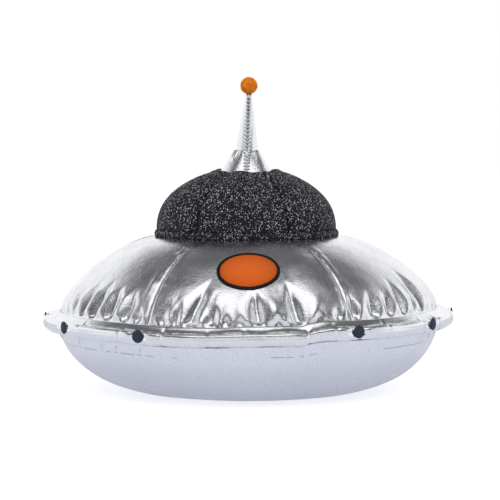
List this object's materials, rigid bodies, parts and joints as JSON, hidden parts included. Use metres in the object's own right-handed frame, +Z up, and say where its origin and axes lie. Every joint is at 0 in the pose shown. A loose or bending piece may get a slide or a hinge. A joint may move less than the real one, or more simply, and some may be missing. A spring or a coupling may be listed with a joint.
{
  "type": "stuffed flying saucer toy",
  "caption": "Plush flying saucer with a silver foil body, padded rim band with tufting buttons, dark glitter dome, foil spire and an orange pompom on top.",
  "frame": {"origin": "centre of the flat round base, on the surface that the toy rests on", "axes": "+Z up along the spire; -Y towards the front, where the emblem patch and the spire's stitched seam are; +X to the right as seen from the front"},
  "size_m": [0.3998, 0.3998, 0.3035],
  "materials": {
    "foil_cloth": "gloss",
    "glitter_cloth": "satin",
    "fibre_fill": "matte",
    "felt_core": "matte",
    "foam": "matte",
    "button_cloth": "satin",
    "button_shank": "satin",
    "thread": "matte",
    "silver_thread": "satin",
    "cotton_cord": "matte",
    "orange_pile": "matte",
    "emblem_orange": "satin",
    "emblem_black": "satin"
  },
  "bodies": {
    "root": {"upper_gore_front": "foil_cloth", "upper_gore_front_right": "foil_cloth", "upper_gore_back_right": "foil_cloth", "upper_gore_back": "foil_cloth", "upper_gore_back_left": "foil_cloth", "upper_gore_front_left": "foil_cloth", "lower_cover": "foil_cloth", "saucer_stuffing": "fibre_fill", "rim_band": "foil_cloth", "rim_foam_ring": "foam", "rim_button_01": "button_cloth", "rim_button_02": "button_cloth", "rim_button_03": "button_cloth", "rim_button_04": "button_cloth", "rim_button_05": "button_cloth", "rim_button_06": "button_cloth", "rim_button_07": "button_cloth", "rim_button_08": "button_cloth", "rim_button_09": "button_cloth", "rim_button_10": "button_cloth", "rim_button_11": "button_cloth", "rim_button_shanks": "button_shank", "rim_button_ties": "thread", "emblem_fill": "emblem_orange", "emblem_border": "emblem_black", "dome_gore_front": "glitter_cloth", "dome_gore_front_right": "glitter_cloth", "dome_gore_back_right": "glitter_cloth", "dome_gore_back": "glitter_cloth", "dome_gore_back_left": "glitter_cloth", "dome_gore_front_left": "glitter_cloth", "dome_hem_roll": "glitter_cloth", "dome_hem_cord": "cotton_cord", "dome_stuffing": "fibre_fill", "spire_collar": "foil_cloth", "spire_collar_stuffing": "fibre_fill", "spire_mast_sleeve": "foil_cloth", "spire_mast_core": "felt_core", "spire_seam_stitches": "silver_thread", "pompom": "orange_pile", "pompom_tie": "thread"}
  },
  "joints": []
}
